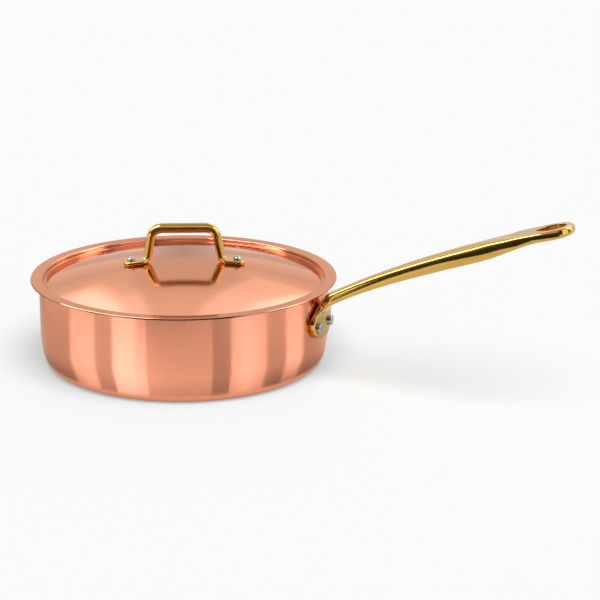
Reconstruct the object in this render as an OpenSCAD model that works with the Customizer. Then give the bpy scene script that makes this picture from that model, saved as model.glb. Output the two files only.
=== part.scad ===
// Low copper saucepan with a stepped drop-in lid, a cast brass long handle
// and a bent brass rod handle on the lid. The origin is the middle of the
// flat underside, +Z is up and the long handle points along +X.

/* [Pan] */
// Outside diameter of the straight copper wall
pan_d = 244; // [180:1:300]
// Height of the rim above the underside
pan_h = 73.1; // [62:0.1:110]
// Thickness of the copper sheet
copper_t = 1.7; // [1.2:0.1:2.6]
// Thickness of the bonded steel lining
lining_t = 0.3; // [0.2:0.05:0.5]
// Height at which the wall starts to lean in towards the base
heel_h = 28; // [22:0.5:34]
// Radius of the long curve between the wall and the base corner
heel_r = 74; // [60:1:110]
// Radius of the base corner
corner_r = 9.5; // [6:0.25:12]

/* [Lid] */
// Overhang of the lid flange past the wall of the pan
flange_over = 6.9; // [4:0.1:9]
// Thickness of the copper sheet of the lid
lid_copper_t = 0.9; // [0.7:0.05:1.2]
// Thickness of the steel lining of the lid
lid_lining_t = 0.3; // [0.2:0.05:0.4]
// Gap between the step of the lid and the inside of the pan
lid_clear = 0.5; // [0.3:0.05:1.5]
// Depth of the narrow ledge below the top of the flange
step_depth = 4.1; // [3:0.1:8]
// Further depth of the groove at the foot of the dome
groove_depth = 1.5; // [1:0.1:2.5]
// Distance from the step wall to the bottom of the groove
groove_in = 5.6; // [5:0.1:8]
// Rise of the dome from the groove to its middle
dome_rise = 16.2; // [10:0.2:26]
// Turn of the lid on the pan, counted from the long handle
lid_turn = 25; // [0:1:180]

/* [Lid handle] */
// Diameter of the brass rod along the bar
rod_d = 8.6; // [6.5:0.1:9.5]
// Thickness of the legs, which the bending leaves a little slimmer than the bar
leg_t = 7.2; // [5.5:0.1:8.5]
// Distance between the two rivets
lid_rivet_span = 89.2; // [80:0.2:110]
// Height of the bar's centre line above the top of the dome
bar_h = 28.8; // [24:0.2:45]
// Distance of each leg from the middle, where its line meets the bar
leg_reach = 26.4; // [22:0.2:32]
// Outward lean of the legs, in degrees
leg_lean = 10; // [4:0.5:14]
// Radius of the upper bends on the centre line
upper_bend_r = 9.5; // [8:0.25:12]
// Radius of the lower bends on the centre line
lower_bend_r = 5.5; // [5:0.25:6]
// Width of the flattened feet
foot_w = 13.6; // [12:0.2:16]
// Thickness of the flattened feet
foot_t = 3.3; // [2.5:0.1:4]
// Distance from the rivet to the end of the foot
foot_end = 6.6; // [6.2:0.1:9]

/* [Long handle] */
// Width of the riveted plate
plate_w = 41; // [38:0.5:48]
// Height of the riveted plate
plate_h = 28; // [25:0.5:32]
// Thickness of the riveted plate
plate_t = 5; // [3.5:0.1:6]
// Height of the plate's middle above the underside
plate_z = 47; // [45:0.5:50]
// Radius of the neck's bend on the centre line
neck_bend_r = 18; // [15:0.5:21]
// Slope of the handle where it leaves the neck, in degrees
neck_slope = 29; // [20:1:36]
// Slope of the handle at its tip, in degrees
tip_slope = 15; // [8:1:18]
// Length of the handle from the neck's bend to its tip
grip_len = 210; // [170:1:260]
// Width of the neck
neck_w = 10.8; // [9:0.2:13]
// Depth of the neck
neck_t = 9.7; // [7:0.1:11]
// Greatest width of the grip
grip_w = 21.4; // [16:0.2:24]
// Radius of the low arch of the grip's upper face
grip_arch_r = 17.5; // [15:0.5:30]
// Rise of that arch above the handle's line
grip_arch_rise = 0.6; // [0:0.1:1]
// Greatest depth of the grip
grip_t = 14.6; // [12:0.2:16]
// Width of the loop at the tip
loop_w = 31; // [27:0.2:35]
// Thickness of the loop at the tip
loop_t = 7.6; // [6.5:0.1:10]
// Width of the hanging eye
eye_w = 19.6; // [15:0.2:21.6]
// Length of the hanging eye
eye_len = 25; // [23:0.5:32]

/* [Rivets] */
// Distance between the two rivets of the long handle
rivet_gap = 24.2; // [20:0.2:26]
// Diameter of the shanks of the long handle's rivets
rivet_d = 5.2; // [4:0.1:6]
// Diameter of their outer heads
rivet_head_d = 8.8; // [8:0.1:9.4]
// Height of their outer heads
rivet_head_h = 3; // [2:0.1:4.5]
// Diameter of their low heads inside the pan
inner_head_d = 11; // [9:0.2:14]
// Height of their low heads inside the pan
inner_head_h = 1.6; // [1:0.1:2.4]
// Diameter of the shanks of the lid's rivets
lid_rivet_d = 3.2; // [2.4:0.1:3.8]
// Diameter of the domed heads on the lid
lid_head_d = 6.8; // [5.6:0.1:7.6]
// Height of the domed heads on the lid
lid_head_h = 3.5; // [2:0.1:4]
// Height of the flat heads under the lid
lid_under_h = 1; // [0.6:0.1:1.4]

/* [Hidden] */
$fn = 180;

// Facets of the small round pieces
small_fn = 64;
// Overrun of a cut past the face that it opens
over = 2;
// Gap around a rivet's shank, and above its flat head on a hollow face
shank_play = 0.05;

copper = [0.80, 0.50, 0.38];
steel = [0.72, 0.72, 0.72];
brass = [0.83, 0.66, 0.32];

function mix(a, b, t) = a + (b - a) * t;
function ease(t) = let (c = min(1, max(0, t))) c * c * (3 - 2 * c);
// Loss of depth at distance d from an edge that is rounded with radius r
function edge_drop(r, d) = d < r ? r - sqrt(max(0, r * r - (r - d) * (r - d))) : 0;
function arc(centre, r, from, to, steps) =
    [for (i = [0:steps]) let (a = mix(from, to, i / steps)) centre + r * [cos(a), sin(a)]];
function reversed(path) = [for (i = [len(path) - 1:-1:0]) path[i]];
function unit(v) = v / norm(v);
function left_of(v) = [-v.y, v.x];
// Path moved sideways by d, to the left of its direction, and kept off the axis
function beside(path, d) = [for (i = [0:len(path) - 1])
    let (before = unit(path[max(i, 1)] - path[max(i, 1) - 1]),
         after = unit(path[min(i + 1, len(path) - 1)] - path[min(i, len(path) - 2)]),
         side = unit(left_of(before) + left_of(after)),
         p = path[i] + side * d / (side * left_of(before)))
    [max(0, p.x), p.y]];

// Closed skin over a row of rings that all have the same number of points
module skin(rings) {
    n = len(rings[0]);
    rows = len(rings);
    sides = [for (k = [0:rows - 2], i = [0:n - 1]) let (j = (i + 1) % n)
        each [[k * n + i, (k + 1) * n + j, k * n + j], [k * n + i, (k + 1) * n + i, (k + 1) * n + j]]];
    ends = [[for (i = [0:n - 1]) i], [for (i = [n - 1:-1:0]) (rows - 1) * n + i]];
    polyhedron(points = [for (ring = rings) each ring], faces = concat(sides, ends), convexity = 6);
}

// Section of a bar as [across, up] points, counted from +across through +up:
// half width w, reach up and down, and corner radii above and below
corner_steps = 4;
flat_steps = 4;
function section(w, up, down, r_up, r_down) =
    let (q = w - r_up, s = w - r_down, inner = [for (i = [1:flat_steps - 1]) 1 - 2 * i / flat_steps])
    concat(arc([q, up - r_up], r_up, 0, 90, corner_steps),
           [for (f = inner) [q * f, up]],
           arc([-q, up - r_up], r_up, 90, 180, corner_steps),
           arc([-s, r_down - down], r_down, 180, 270, corner_steps),
           [for (f = inner) [-s * f, -down]],
           arc([s, r_down - down], r_down, 270, 360, corner_steps));

// The same, with an upper face that is a low arch of radius arch_r between the corners
function arched_section(w, up, down, r_up, r_down, arch_r) =
    let (q = w - r_up, turn = asin(q / (arch_r - r_up)), base = up - arch_r,
         corner_z = base + (arch_r - r_up) * cos(turn),
         r_low = min(r_down, corner_z + down), s = w - r_low,
         inner = [for (i = [1:flat_steps - 1]) 1 - 2 * i / flat_steps])
    concat(arc([q, corner_z], r_up, 0, 90 - turn, corner_steps),
           [for (f = inner) [arch_r * sin(turn * f), base + arch_r * cos(turn * f)]],
           arc([-q, corner_z], r_up, 90 + turn, 180, corner_steps),
           arc([-s, r_low - down], r_low, 180, 270, corner_steps),
           [for (f = inner) [-s * f, -down]],
           arc([s, r_low - down], r_low, 270, 360, corner_steps));

// The section set across a line in the XZ plane at point p with slope a
function stand(points, p, a) = [for (q = points) [p.x - q.y * sin(a), q.x, p.y + q.y * cos(a)]];

// Pan

pan_r = pan_d / 2;
wall_t = copper_t + lining_t;
inner_r = pan_r - wall_t;

// Outside of the pan from the middle of the base to the rim, set in by t
heel_mid = [pan_r - heel_r, heel_h];
corner_mid = [heel_mid.x + sqrt(pow(heel_r - corner_r, 2) - pow(heel_h - corner_r, 2)), corner_r];
heel_turn = asin((heel_h - corner_r) / (heel_r - corner_r));
function pan_side(t) = concat([[0, t]],
    arc(corner_mid, corner_r - t, -90, -heel_turn, 8),
    arc(heel_mid, heel_r - t, -heel_turn, 0, 10),
    [[pan_r - t, pan_h]]);

module pan_layer(from, to) {
    rotate_extrude() polygon(concat(pan_side(from), reversed(pan_side(to))));
}

// Long handle's rivets: their angle off the handle's line and their height
rivet_turn = asin(rivet_gap / 2 / pan_r);
rivet_below_share = 0.08;
rivet_z = plate_z - plate_h * rivet_below_share;
seat_cut = 0.3;
seat_r = pan_r + plate_t - seat_cut;

// Frame of one rivet of the pan: +Z runs out along its axis, zero on the pan's axis
module at_pan_rivet(side) {
    rotate([0, 0, side * rivet_turn]) translate([0, 0, rivet_z]) rotate([0, 90, 0]) children();
}
module pan_rivet_holes() {
    for (side = [-1, 1])
        at_pan_rivet(side) cylinder(d = rivet_d + 2 * shank_play, h = pan_r * 2, $fn = small_fn);
}

module pan_shell() {
    color(copper) difference() {
        pan_layer(0, copper_t);
        pan_rivet_holes();
    }
}
module pan_lining() {
    color(steel) difference() {
        pan_layer(copper_t, wall_t);
        pan_rivet_holes();
    }
}

// One rivet: low domed head inside the pan, shank, and tall flat head on the plate.
// The inner head's flat back meets the round wall along the head's two sides
inner_head_r = inner_head_d / 2;
inner_back = sqrt(inner_r * inner_r - inner_head_r * inner_head_r);
module pan_rivet(side) {
    dome_r = (inner_head_r * inner_head_r + inner_head_h * inner_head_h) / (2 * inner_head_h);
    edge = rivet_head_d / 16;
    color(steel) at_pan_rivet(side) rotate_extrude($fn = small_fn) polygon(concat(
        arc([0, inner_back - inner_head_h + dome_r], dome_r, -90, asin(inner_head_r / dome_r) - 90, 8),
        [[rivet_d / 2, inner_back], [rivet_d / 2, seat_r], [rivet_head_d / 2, seat_r]],
        arc([rivet_head_d / 2 - edge, seat_r + rivet_head_h - edge], edge, 0, 90, 4),
        [[0, seat_r + rivet_head_h]]));
}
module pan_rivet_left() { pan_rivet(1); }
module pan_rivet_right() { pan_rivet(-1); }

// Long handle: one casting, lofted along a line in the XZ plane. The line runs
// up the plate, bends outward in the neck and rises along the grip to the tip.
// Places on it are distances from the plate's middle.

plate_half = plate_h / 2;
plate_x = pan_r + plate_t / 2;
bend_from_share = 0.36;
bend_from = plate_half * bend_from_share;
bend_turn = 90 - neck_slope;
bend_len = neck_bend_r * bend_turn * PI / 180;
grip_from = bend_from + bend_len;
bend_mid = [plate_x + neck_bend_r, plate_z + bend_from];
neck_end = bend_mid + neck_bend_r * [-sin(neck_slope), cos(neck_slope)];
// The grip's line is an arc of large radius between the two slopes
grip_arc_r = grip_len / ((neck_slope - tip_slope) * PI / 180);
grip_mid = neck_end - grip_arc_r * [-sin(neck_slope), cos(neck_slope)];

function line_slope(q) =
    q < bend_from ? 90
    : q < grip_from ? 90 - bend_turn * (q - bend_from) / bend_len
    : mix(neck_slope, tip_slope, (q - grip_from) / grip_len);
function line_point(q) = let (a = line_slope(q))
    q < bend_from ? [plate_x, plate_z + q]
    : q < grip_from ? bend_mid + neck_bend_r * [-sin(a), cos(a)]
    : grip_mid + grip_arc_r * [-sin(a), cos(a)];

// Shares of the grip's length: its swell is fullest, its belly ends, its loop begins
swell_share = 0.63;
belly_end_share = 0.84;
loop_from_share = 0.74;
loop_r = loop_w / 2;
loop_mid = grip_len - loop_r;
edge_r_share = 0.5;
function grip_width(u) = u < grip_len * loop_from_share
    ? mix(neck_w, grip_w, swell(u))
    : mix(grip_w, loop_w,
        ease((u / grip_len - loop_from_share) / (1 - loop_from_share - loop_r / grip_len)));
function grip_depth(u) = u < grip_len * swell_share
    ? mix(neck_t, grip_t, swell(u))
    : mix(grip_t, loop_t, fading(u));
// The swell, from 0 at the neck to 1, and its fading towards the loop
function swell(u) = ease(u / (grip_len * swell_share));
function fading(u) = ease((u / grip_len - swell_share) / (belly_end_share - swell_share));
// Reach of the section above the line, so that the swell hangs below a smooth top
function grip_up(u) = mix(neck_t, loop_t, u / grip_len) / 2 + grip_arch_rise * swell(u) * (1 - fading(u));
// Radius of the arched upper face, which runs out flat before the loop
flat_arch_share = 0.001;
function grip_arch(u) = grip_arch_r / max(flat_arch_share, 1 - fading(u));
// Shares of the depth that the corners round, at the neck and under the swell
top_corner_shares = [0.48, 0.3];
belly_corner_shares = [0.5, 0.43];
function top_share(u) = mix(top_corner_shares[0], top_corner_shares[1], swell(u));
function belly_share(u) = mix(belly_corner_shares[0], belly_corner_shares[1], swell(u));

// Ring of the grip at distance u from the neck's bend
function grip_ring(u) =
    let (past = max(0, u - loop_mid),
         w = past > 0 ? sqrt(max(0, loop_r * loop_r - past * past)) : grip_width(u) / 2,
         drop = edge_drop(loop_t * edge_r_share, grip_len - u),
         up = grip_up(u) - drop,
         down = grip_depth(u) - grip_up(u) - drop,
         t = up + down,
         q = grip_from + u)
    stand(arched_section(w, up, down, min(w, t * top_share(u)), min(w, t * belly_share(u)), grip_arch(u)),
          line_point(q), line_slope(q));

// Ring of the plate and neck at distance q from the plate's middle. The plate's
// oval outline runs into the neck, its back is sunk for the cut that seats it
plate_edge_share = 0.34;
seat_sink = 0.6;
function plate_ring(q) =
    let (run = ease((q - bend_from / 2) / (grip_from - bend_from / 2)),
         oval = plate_w / 2 * sqrt(max(0, 1 - q * q / (plate_half * plate_half))),
         neck = neck_w / 2 * ease((q + bend_from) / (bend_from * 3)),
         w = pow(pow(oval, 3) + pow(neck, 3), 1 / 3),
         a = line_slope(q),
         hug = neck_bend_r + plate_t / 2,
         back = q < bend_from ? plate_t / 2 + seat_sink
              : min(neck_t / 2, hug / cos(90 - a) - neck_bend_r + seat_sink),
         front = mix(plate_t, neck_t, run) / 2 - edge_drop(plate_t * plate_edge_share, q + plate_half),
         r = min(w, mix(plate_t * plate_edge_share, neck_t * 0.5, run)),
         wrap = 1 - run)
    stand([for (p = section(w, back, front, r, r))
              [p.x, p.y + wrap * (pan_r - sqrt(max(0, pan_r * pan_r - p.x * p.x)))]],
          line_point(q), a);

plate_rings = 8;
bend_rings = 10;
grip_rings = 22;
tip_rings = 7;
handle_rings = concat(
    [for (i = [1:plate_rings]) plate_ring(-plate_half * cos(90 * i / plate_rings))],
    [for (i = [0:bend_rings - 1]) plate_ring(mix(bend_from / 2, grip_from, i / bend_rings))],
    [for (i = [0:grip_rings - 1]) grip_ring(mix(0, loop_mid, i / grip_rings))],
    [for (i = [0:tip_rings]) grip_ring(loop_mid + loop_r * sin(85 * i / tip_rings))]);

// Teardrop outline of the eye, wider by e, around its round end and its point
eye_r = eye_w / 2;
eye_point_share = 0.2;
eye_point_r = eye_r * eye_point_share;
eye_pitch = eye_len - eye_r - eye_point_r;
eye_flare = asin((eye_r - eye_point_r) / eye_pitch);
function eye_outline(e) = concat(
    arc([0, 0], eye_r + e, -90 - eye_flare, 90 + eye_flare, 20),
    arc([-eye_pitch, 0], eye_point_r + e, 90 + eye_flare, 270 - eye_flare, 6));
// Cutter of the eye: straight through, flared by a quarter round at both faces
module eye_cut() {
    reach = loop_t / 2;
    r = (loop_w - eye_w) / 5;
    q = grip_from + loop_mid;
    steps = 5;
    flares = [for (i = [0:steps]) let (a = 90 * i / steps) [reach - r + r * sin(a), r * (1 - cos(a))]];
    levels = concat([[-reach - over, r]],
        [for (f = reversed(flares)) [-f.x, f.y]], flares, [[reach + over, r]]);
    p = line_point(q);
    translate([p.x, 0, p.y]) rotate([0, -line_slope(q), 0])
        skin([for (l = levels) [for (o = eye_outline(l.y)) [o.x, o.y, l.x]]]);
}

module pan_handle() {
    color(brass) difference() {
        skin(handle_rings);
        cylinder(r = pan_r, h = pan_h * 2);
        pan_rivet_holes();
        for (side = [-1, 1])
            at_pan_rivet(side) translate([0, 0, seat_r])
                cylinder(d = rivet_head_d + seat_cut * 2, h = rivet_head_h + over, $fn = small_fn);
        eye_cut();
    }
}

// Lid: profile of the upper face from the flange's edge to the axis

lid_t = lid_copper_t + lid_lining_t;
flange_r = pan_r + flange_over;
flange_z = pan_h + lid_t;
step_r = inner_r - lid_clear - lid_t;
// The lip's underside turns down inside the rim of the pan
lip_r = lid_t + lid_clear / 2;
ledge_r = lid_t * 0.6;
ledge_z = flange_z - step_depth;
groove_r = step_r - groove_in;
groove_z = ledge_z - groove_depth;
flange_edge = lid_copper_t * 0.5;
dome_r = (groove_r * groove_r + dome_rise * dome_rise) / (2 * dome_rise);
dome_mid_z = groove_z + dome_rise - dome_r;
dome_turn = asin(groove_r / dome_r);
dome_top = groove_z + dome_rise;
// The band between ledge and groove, and the fillet that turns into the dome
band_r = lid_t * 1.4;
band_slope = 24;
fillet_r = groove_in * 0.6;
// The dome starts inward of the fillet's tangent point
fillet_mid = [0, dome_mid_z] + (dome_r + fillet_r) * [sin(dome_turn), cos(dome_turn)];
lid_top = concat(
    arc([flange_r - flange_edge, flange_z - flange_edge], flange_edge, 0, 90, 4),
    arc([step_r + lip_r, flange_z - lip_r], lip_r, 90, 180, 6),
    arc([step_r - ledge_r, ledge_z + ledge_r], ledge_r, 0, -90, 4),
    arc([step_r - ledge_r * 2.2, ledge_z - band_r], band_r, 90, 90 + band_slope, 3),
    arc(fillet_mid, fillet_r, -90 + band_slope, -90 - dome_turn, 5),
    [for (i = [1:24]) let (a = dome_turn * (1 - i / 24)) [0, dome_mid_z] + dome_r * [sin(a), cos(a)]]);
// The same profile without the rounded edge, moved down by t
lid_line = concat([[flange_r, flange_z]], [for (i = [5:len(lid_top) - 1]) lid_top[i]]);
function lid_under(t) = beside(lid_line, t);

module lid_layer(upper, lower) {
    rotate_extrude() polygon(concat(upper, reversed(lower)));
}

// Lid rivets: place on the dome and tilt of their axes
lid_rivet_r = lid_rivet_span / 2;
lid_rivet_tilt = asin(lid_rivet_r / (dome_r + foot_t));
// Frame of one rivet of the lid: +Z runs out along its axis, zero on the dome's face
module at_lid_rivet(side) {
    rotate([0, 0, lid_turn]) translate([0, 0, dome_mid_z])
        rotate([0, side * lid_rivet_tilt, 0]) translate([0, 0, dome_r]) children();
}
module lid_rivet_holes() {
    for (side = [-1, 1])
        at_lid_rivet(side) translate([0, 0, -lid_t - over])
            cylinder(d = lid_rivet_d + 2 * shank_play, h = lid_t + foot_t + over * 2, $fn = small_fn);
}

module lid_shell() {
    color(copper) difference() {
        lid_layer(lid_top, lid_under(lid_copper_t));
        lid_rivet_holes();
    }
}
module lid_lining() {
    color(steel) difference() {
        lid_layer(lid_under(lid_copper_t), lid_under(lid_t));
        lid_rivet_holes();
    }
}

// Lid handle: one brass rod, bent twice at each side and flattened into feet.
// Half of its line, from the middle of the bar outward, lies in the XZ plane

rod_r = rod_d / 2;
bar_z = dome_top + bar_h;
upper_turn = 90 - leg_lean;
lower_turn = upper_turn - lid_rivet_tilt;
foot_sink = 0.25;
// Height and slope of the foot's middle line at the rivet
foot_at = [0, dome_mid_z] + (dome_r + foot_t / 2) * [sin(lid_rivet_tilt), cos(lid_rivet_tilt)];
leg_dir = [sin(leg_lean), -cos(leg_lean)];
foot_dir = [cos(lid_rivet_tilt), -sin(lid_rivet_tilt)];
// Where the leg's line meets the foot's line
knee_back = ((foot_at - [leg_reach, bar_z]) * left_of(leg_dir)) / (foot_dir * left_of(leg_dir));
knee = foot_at - foot_dir * knee_back;
upper_tangent = upper_bend_r * tan(upper_turn / 2);
lower_tangent = lower_bend_r * tan(lower_turn / 2);
upper_mid = [leg_reach - upper_tangent, bar_z - upper_bend_r];
lower_mid = knee + foot_dir * lower_tangent + lower_bend_r * left_of(foot_dir);

// Section of the rod: slim runs from 0 on the round bar to 1 on the leg, flat from
// 0 on the leg to 1 on the foot, and w limits the half width
function rod_section(slim, flat, w) =
    let (half_w = min(w, mix(rod_r, foot_w / 2, flat)),
         half_t = mix(rod_r, leg_t / 2, slim),
         up = mix(half_t, foot_t / 2, flat),
         r = min(half_w, mix(half_t, foot_t * 0.45, flat)))
    section(half_w, up, up + foot_sink * flat, r, r);
foot_corner_r = foot_w * 0.36;
foot_past = knee_back - lower_tangent + foot_end;
function foot_half(d) = foot_w / 2 - edge_drop(foot_corner_r, foot_past - d);
// Points of a foot that would lie inside the dome are raised onto its face
function on_dome(ring) = [for (p = ring)
    [p.x, p.y, max(p.z, dome_mid_z + sqrt(dome_r * dome_r - p.x * p.x - p.y * p.y))]];
foot_rings = 10;
bend_steps = 7;
half_rod = concat(
    [stand(rod_section(0, 0, rod_r), [upper_mid.x / 2, bar_z], 0)],
    [for (i = [0:bend_steps]) let (f = i / bend_steps, a = -upper_turn * f)
        stand(rod_section(ease(f), 0, rod_r), upper_mid + upper_bend_r * [-sin(a), cos(a)], a)],
    [for (i = [0:bend_steps]) let (f = i / bend_steps, a = -upper_turn + lower_turn * f)
        on_dome(stand(rod_section(1, ease(f), foot_w), lower_mid + lower_bend_r * [sin(a), -cos(a)], a))],
    [for (i = [1:foot_rings]) let (d = foot_past * sin(90 * i / foot_rings),
                                   p = knee + foot_dir * (lower_tangent + d))
        on_dome(stand(rod_section(1, 1, foot_half(d)), p, -lid_rivet_tilt))]);
// The other half is the mirror image, so its rings run back in the same order
function mirrored(ring) = [for (i = [0:len(ring) - 1]) let (p = ring[i]) [-p.x, p.y, p.z]];

module lid_handle() {
    color(brass) difference() {
        rotate([0, 0, lid_turn]) skin(concat([for (ring = reversed(half_rod)) mirrored(ring)], half_rod));
        lid_rivet_holes();
    }
}

// One lid rivet: domed head on the foot, shank, and flat head just below the hollow lining
module lid_rivet(side) {
    side_h = lid_head_h * 0.35;
    head_r = lid_head_d / 2;
    crown = lid_head_h - side_h;
    crown_r = (head_r * head_r + crown * crown) / (2 * crown);
    crown_z = foot_t + side_h + crown - crown_r;
    seat_z = lid_t + shank_play;
    under_z = seat_z + lid_under_h;
    color(steel) at_lid_rivet(side) rotate_extrude($fn = small_fn) polygon(concat(
        [[0, -under_z], [head_r, -under_z], [head_r, -seat_z], [lid_rivet_d / 2, -seat_z],
         [lid_rivet_d / 2, foot_t], [head_r, foot_t]],
        arc([0, crown_z], crown_r, 90 - asin(head_r / crown_r), 90, 8)));
}
module lid_rivet_left() { lid_rivet(1); }
module lid_rivet_right() { lid_rivet(-1); }

pan_shell();
pan_lining();
pan_handle();
pan_rivet_left();
pan_rivet_right();
lid_shell();
lid_lining();
lid_handle();
lid_rivet_left();
lid_rivet_right();
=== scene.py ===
# %% [markdown]
# # A lidded copper saucepan
# A low copper pan, drawn from sheet and lined with steel, stands on a pale floor. A cast brass
# handle is riveted to its wall, and a bent brass bar to its lid. The solids of the ten pieces come
# in first, as the fixed frame that every visible piece has to match: same place, same size, in
# metres, with the middle of the pan's underside at the origin and the long handle along +X.

# %% Load the solids
from math import asin, atan2, cos, degrees, pi, radians, sin, sqrt, tan

import bmesh
import bpy
from mathutils import Matrix, Vector


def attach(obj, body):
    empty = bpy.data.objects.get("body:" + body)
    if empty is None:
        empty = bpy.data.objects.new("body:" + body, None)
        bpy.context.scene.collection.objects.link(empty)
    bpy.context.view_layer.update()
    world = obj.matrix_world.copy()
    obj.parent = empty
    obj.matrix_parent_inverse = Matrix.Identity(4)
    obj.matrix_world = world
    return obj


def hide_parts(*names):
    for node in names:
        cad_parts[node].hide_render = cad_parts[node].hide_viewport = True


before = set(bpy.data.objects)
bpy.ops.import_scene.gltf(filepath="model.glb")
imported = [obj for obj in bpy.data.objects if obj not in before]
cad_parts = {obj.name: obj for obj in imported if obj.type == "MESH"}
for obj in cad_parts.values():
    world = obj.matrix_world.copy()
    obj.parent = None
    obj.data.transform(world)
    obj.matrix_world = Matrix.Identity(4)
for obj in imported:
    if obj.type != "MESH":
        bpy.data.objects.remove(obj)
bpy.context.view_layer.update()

print("solids:", ", ".join(sorted(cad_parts)))

# %% [markdown]
# ## Camera
# The picture was taken with a long lens from a little above the lid. A camera could be placed by
# eye, but the ellipses of the rim, the flange and the base fix it: together they give the height,
# the distance and the small tilt of the horizon, so these numbers are entered as they were solved.

# %% Place the camera
LENS_SHARE = 1526.8 / 600
CAMERA_PLACE = Vector((0.5313, -1.1287, 0.4302))
CAMERA_HEADING, CAMERA_DOWN, CAMERA_TILT = radians(20.7), radians(16.934), radians(0.615)

camera_data = bpy.data.cameras.new("camera")
camera_data.sensor_width = 36
camera_data.lens = camera_data.sensor_width * LENS_SHARE
camera_data.clip_start, camera_data.clip_end = 0.05, 60
camera = bpy.data.objects.new("camera", camera_data)
camera.matrix_world = (Matrix.Translation(CAMERA_PLACE) @ Matrix.Rotation(CAMERA_HEADING, 4, "Z")
                       @ Matrix.Rotation(pi / 2 - CAMERA_DOWN, 4, "X")
                       @ Matrix.Rotation(CAMERA_TILT, 4, "Z"))
bpy.context.scene.collection.objects.link(camera)
bpy.context.scene.camera = camera
bpy.context.scene.view_settings.view_transform = "Standard"
print("lens:", round(camera_data.lens, 1), "mm")

# %% [markdown]
# ## Small helpers
# Nearly every step below blends two values, makes a mesh from points and faces, or joins nodes. A
# few helpers keep those steps short. The one for meshes turns lists into a linked object, the one
# for nodes adds a node with its values and links in one call.

# %% Helpers for values and meshes
def mix(a, b, t):
    return a + (b - a) * t


def progress(value, start, end):
    """How far a value has come from start to end, held between 0 and 1."""
    return min(1.0, max(0.0, (value - start) / (end - start)))


def ease(t):
    """A share that starts and ends softly, held between 0 and 1."""
    t = progress(t, 0, 1)
    return t * t * (3 - 2 * t)


def linked(name, data):
    """A new object in the scene that shows this mesh, lamp or camera."""
    made = bpy.data.objects.new(name, data)
    bpy.context.scene.collection.objects.link(made)
    return made


def mesh_object(name, points, faces, smooth=True):
    mesh = bpy.data.meshes.new(name)
    mesh.from_pydata([tuple(p) for p in points], [], faces)
    mesh.validate()
    mesh.shade_smooth() if smooth else mesh.shade_flat()
    return linked(name, mesh)


# %% Helpers for nodes
def add(tree, kind, values=None, feeds=None, **settings):
    """A node of this kind: settings on the node, values on its inputs, feeds linked into them."""
    node = tree.nodes.new(kind)
    for key, value in settings.items():
        setattr(node, key, value)
    for key, value in (values or {}).items():
        node.inputs[key].default_value = value
    for key, socket in (feeds or {}).items():
        tree.links.new(socket, node.inputs[key])
    return node


def maths(tree, operation, a, b=0.0):
    """One Math node whose inputs are numbers or sockets."""
    node = add(tree, "ShaderNodeMath", operation=operation)
    for i, entry in enumerate((a, b)):
        if isinstance(entry, (int, float)):
            node.inputs[i].default_value = entry
        else:
            tree.links.new(entry, node.inputs[i])
    return node.outputs[0]


def new_material(name, values):
    """A material with these values on its shader's own inputs: material, tree and shader."""
    made = bpy.data.materials.new(name)
    made.use_nodes = True
    shader = made.node_tree.nodes["Principled BSDF"]
    for key, value in values.items():
        shader.inputs[key].default_value = value
    return made, made.node_tree, shader


# %% [markdown]
# ## Studio
# Polished metal has no colour of its own to show; it shows the room. In the picture the wall of
# the pan carries upright bands with straight edges, which are tall soft boxes and dark flags
# standing around the table. A single lamp could never give those bands. So the room is built the
# way a photographer builds it: a pale floor, even light from the sky, one broad soft lamp over the
# front of the table, and bright and dark sheets that only the metal sees.

# %% Floor
FLOOR_TONE, FLOOR_HALF, TABLE_GLOW = 0.93, 14, 0.334

floor_corners = [(-FLOOR_HALF, -FLOOR_HALF, 0), (FLOOR_HALF, -FLOOR_HALF, 0),
                 (FLOOR_HALF, FLOOR_HALF, 0), (-FLOOR_HALF, FLOOR_HALF, 0)]
floor = mesh_object("floor", floor_corners, [(0, 1, 2, 3)], False)
# The paper lies on a lit table: its own faint light fills the shadow around the pan
PAPER = {"Base Color": (FLOOR_TONE, FLOOR_TONE, FLOOR_TONE, 1), "Roughness": 0.9, "Specular IOR Level": 0.0,
         "Emission Color": (1, 1, 1, 1), "Emission Strength": TABLE_GLOW}
floor.data.materials.append(new_material("floor_paper", PAPER)[0])
print("floor:", FLOOR_HALF * 2, "m wide")

# %% Sky and lamp
SKY_LIGHT, LAMP_LIGHT, LAMP_SPREAD = 0.143, 1.84, radians(52)
LAMP_WAY = Vector((-0.28, 0.38, -1))

world = bpy.data.worlds.new("sky")
world.use_nodes = True
sky = world.node_tree
sky.nodes.clear()
paths = add(sky, "ShaderNodeLightPath")
seen = maths(sky, "MAXIMUM", paths.outputs["Is Camera Ray"], paths.outputs["Is Glossy Ray"])
seen = maths(sky, "MAXIMUM", seen, paths.outputs["Is Transmission Ray"])
light = add(sky, "ShaderNodeBackground", {"Color": (1, 1, 1, 1), "Strength": SKY_LIGHT})
white = add(sky, "ShaderNodeBackground", {"Color": (1, 1, 1, 1), "Strength": 1.0})
both = add(sky, "ShaderNodeMixShader", feeds={0: seen, 1: light.outputs[0], 2: white.outputs[0]})
add(sky, "ShaderNodeOutputWorld", feeds={"Surface": both.outputs[0]})
bpy.context.scene.world = world

lamp_data = bpy.data.lights.new("key_lamp", "SUN")
lamp_data.energy = LAMP_LIGHT
lamp_data.angle = LAMP_SPREAD
lamp = linked("key_lamp", lamp_data)
lamp.rotation_euler = LAMP_WAY.to_track_quat("-Z", "Y").to_euler()
lamp.visible_glossy = False
print("lamp:", round(90 - LAMP_WAY.angle(Vector((0, 0, -1))) * 180 / pi), "degrees above the floor")

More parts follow.
